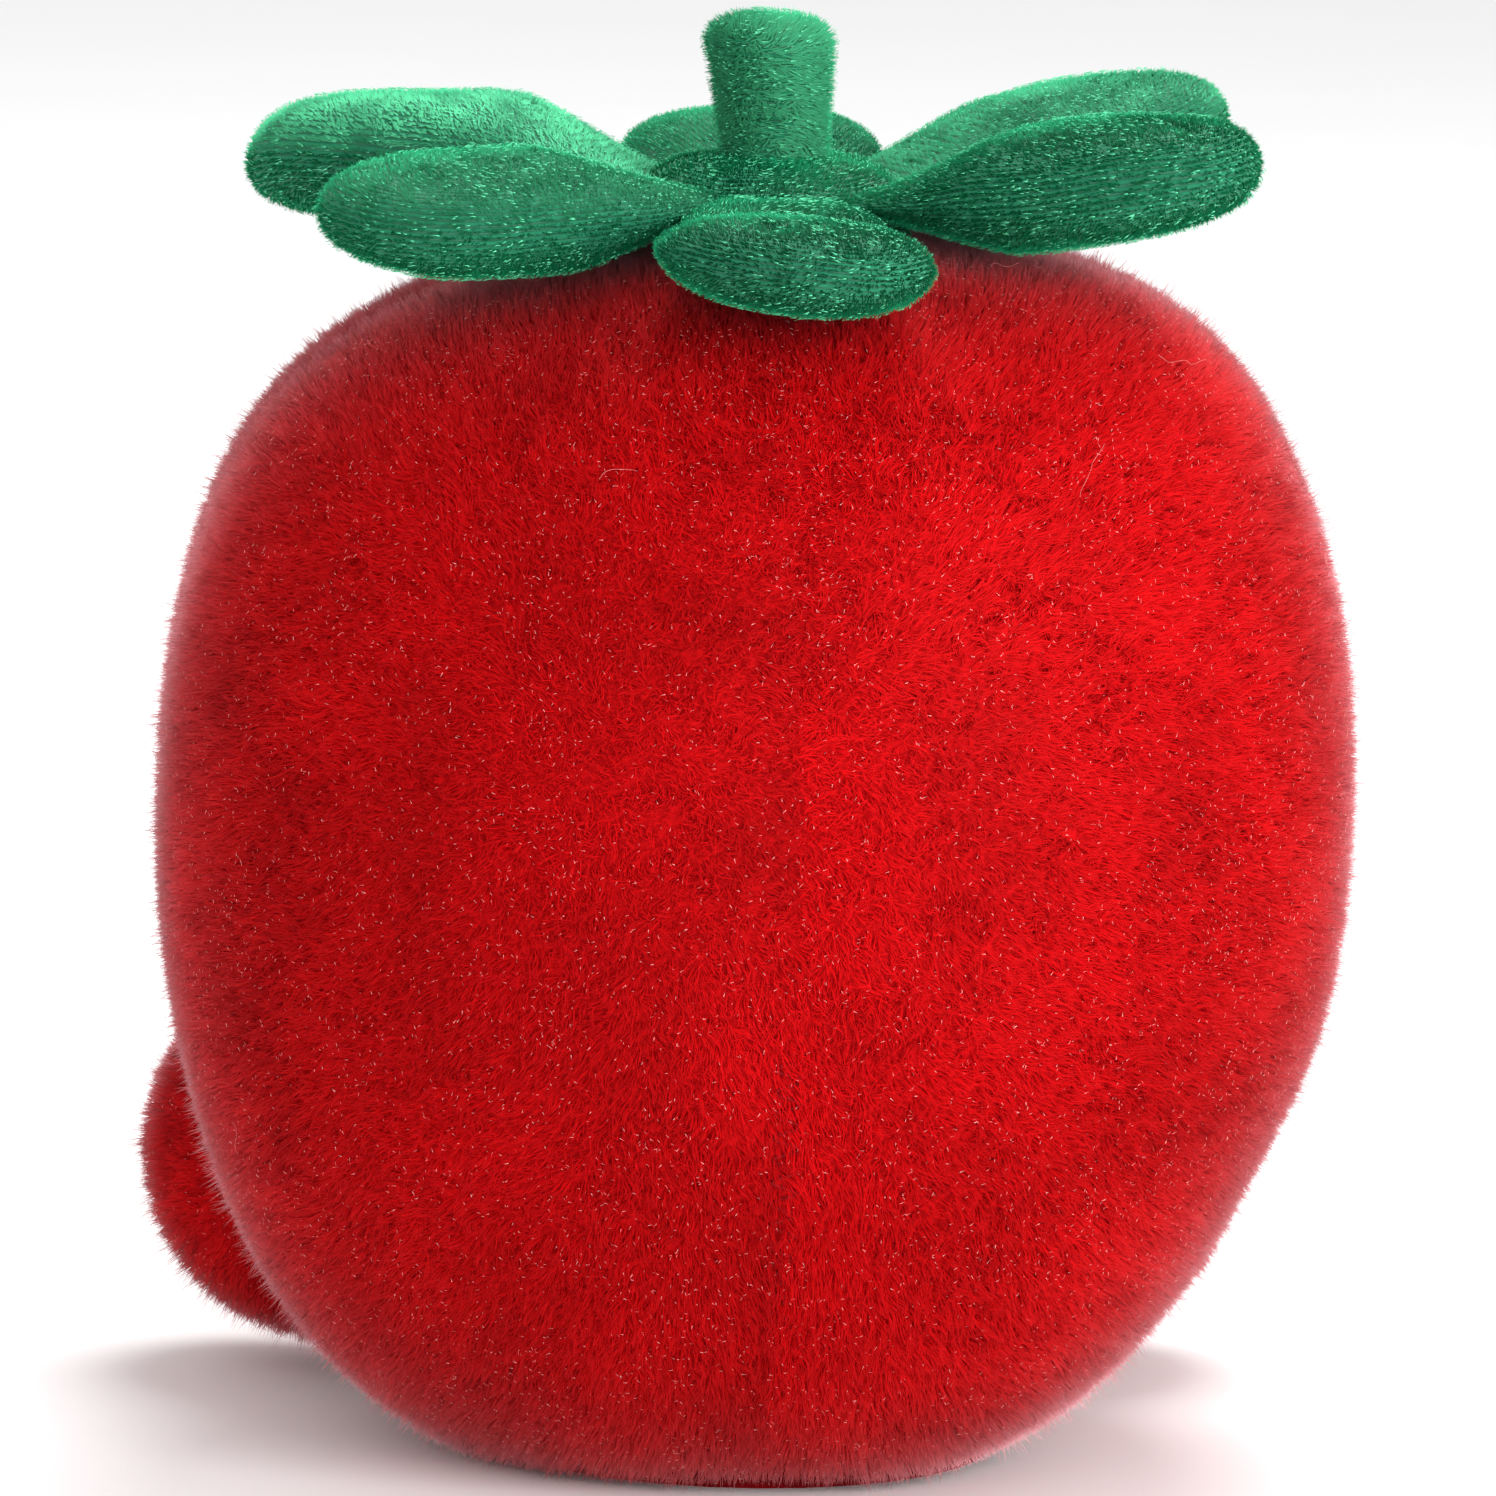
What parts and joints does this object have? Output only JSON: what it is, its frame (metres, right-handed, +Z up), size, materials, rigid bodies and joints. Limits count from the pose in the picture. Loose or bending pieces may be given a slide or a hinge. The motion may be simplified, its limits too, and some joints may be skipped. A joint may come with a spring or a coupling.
{
  "type": "stuffed toy tomato",
  "caption": "Plush tomato with padded green velour leaves and a stem that flex, stub feet and a flat weighted base; stands by itself as a soft toy, paperweight or pincushion.",
  "frame": {"origin": "on the ground under the middle of the body", "axes": "+Z up along the body's axis, -Y towards the centre seam of the back, +X to the right as seen from behind"},
  "size_m": [0.102, 0.0982, 0.125],
  "materials": {
    "red_plush": "matte",
    "green_velour": "satin",
    "white_wadding": "matte",
    "pouch_cloth": "matte",
    "pellets": "satin",
    "red_thread": "matte",
    "green_thread": "matte"
  },
  "bodies": {
    "torso": {"body_back_left": "red_plush", "body_back_right": "red_plush", "body_front_left": "red_plush", "body_front_right": "red_plush", "base_panel": "red_plush", "body_stuffing": "white_wadding", "pellet_pouch_upper": "pouch_cloth", "pellet_pouch_lower": "pouch_cloth", "pellet_filling": "pellets", "closing_thread": "red_thread", "gather_thread": "red_thread", "calyx_centre_lower": "green_velour", "calyx_centre_padding": "white_wadding", "calyx_centre_upper": "green_velour", "calyx_thread": "green_thread"},
    "leaf_back": {"leaf_back_upper": "green_velour", "leaf_back_lower": "green_velour", "leaf_back_padding": "white_wadding"},
    "leaf_back_right": {"leaf_back_right_upper": "green_velour", "leaf_back_right_lower": "green_velour", "leaf_back_right_padding": "white_wadding"},
    "leaf_front_right": {"leaf_front_right_upper": "green_velour", "leaf_front_right_lower": "green_velour", "leaf_front_right_padding": "white_wadding"},
    "leaf_front": {"leaf_front_upper": "green_velour", "leaf_front_lower": "green_velour", "leaf_front_padding": "white_wadding"},
    "leaf_front_left": {"leaf_front_left_upper": "green_velour", "leaf_front_left_lower": "green_velour", "leaf_front_left_padding": "white_wadding"},
    "leaf_back_left": {"leaf_back_left_upper": "green_velour", "leaf_back_left_lower": "green_velour", "leaf_back_left_padding": "white_wadding"},
    "stem": {"stem_tube": "green_velour", "stem_cap": "green_velour", "stem_stuffing": "white_wadding"},
    "foot_right": {"foot_right_cover": "red_plush", "foot_right_sole": "red_plush", "foot_right_stuffing": "white_wadding"},
    "foot_left": {"foot_left_cover": "red_plush", "foot_left_sole": "red_plush", "foot_left_stuffing": "white_wadding"}
  },
  "joints": [
    {"name": "leaf_back_flex", "type": "hinge", "parent": "torso", "child": "leaf_back", "pos_m": [0, -0.0106, 0.1093], "axis": [-1, 0, 0], "range_deg": [-10, 30], "stiffness_Nm_per_rad": 0.03},
    {"name": "leaf_back_right_flex", "type": "hinge", "parent": "torso", "child": "leaf_back_right", "pos_m": [0.00918, -0.0053, 0.1093], "axis": [-0.5, -0.866, 0], "range_deg": [-10, 30], "stiffness_Nm_per_rad": 0.03},
    {"name": "leaf_front_right_flex", "type": "hinge", "parent": "torso", "child": "leaf_front_right", "pos_m": [0.00936, 0.00498, 0.1093], "axis": [0.4695, -0.8829, 0], "range_deg": [-10, 30], "stiffness_Nm_per_rad": 0.03},
    {"name": "leaf_front_flex", "type": "hinge", "parent": "torso", "child": "leaf_front", "pos_m": [0, 0.0106, 0.1093], "axis": [1, 0, 0], "range_deg": [-10, 30], "stiffness_Nm_per_rad": 0.03},
    {"name": "leaf_front_left_flex", "type": "hinge", "parent": "torso", "child": "leaf_front_left", "pos_m": [-0.00976, 0.00414, 0.1093], "axis": [0.3907, 0.9205, 0], "range_deg": [-10, 30], "stiffness_Nm_per_rad": 0.03},
    {"name": "leaf_back_left_flex", "type": "hinge", "parent": "torso", "child": "leaf_back_left", "pos_m": [-0.00899, -0.00562, 0.1093], "axis": [-0.5299, 0.848, 0], "range_deg": [-10, 30], "stiffness_Nm_per_rad": 0.03},
    {"name": "stem_tilt", "type": "hinge", "parent": "torso", "child": "stem", "pos_m": [0, 0, 0.1114], "axis": [0, 1, 0], "range_deg": [-18, 18], "stiffness_Nm_per_rad": 0.02},
    {"name": "foot_right_flex", "type": "hinge", "parent": "torso", "child": "foot_right", "pos_m": [0.02655, 0.02949, 0.014], "axis": [0.7431, -0.6691, 0], "range_deg": [-7, 13], "stiffness_Nm_per_rad": 0.08},
    {"name": "foot_left_flex", "type": "hinge", "parent": "torso", "child": "foot_left", "pos_m": [-0.03019, 0.02624, 0.014], "axis": [0.6561, 0.7547, 0], "range_deg": [-7, 13], "stiffness_Nm_per_rad": 0.08}
  ]
}
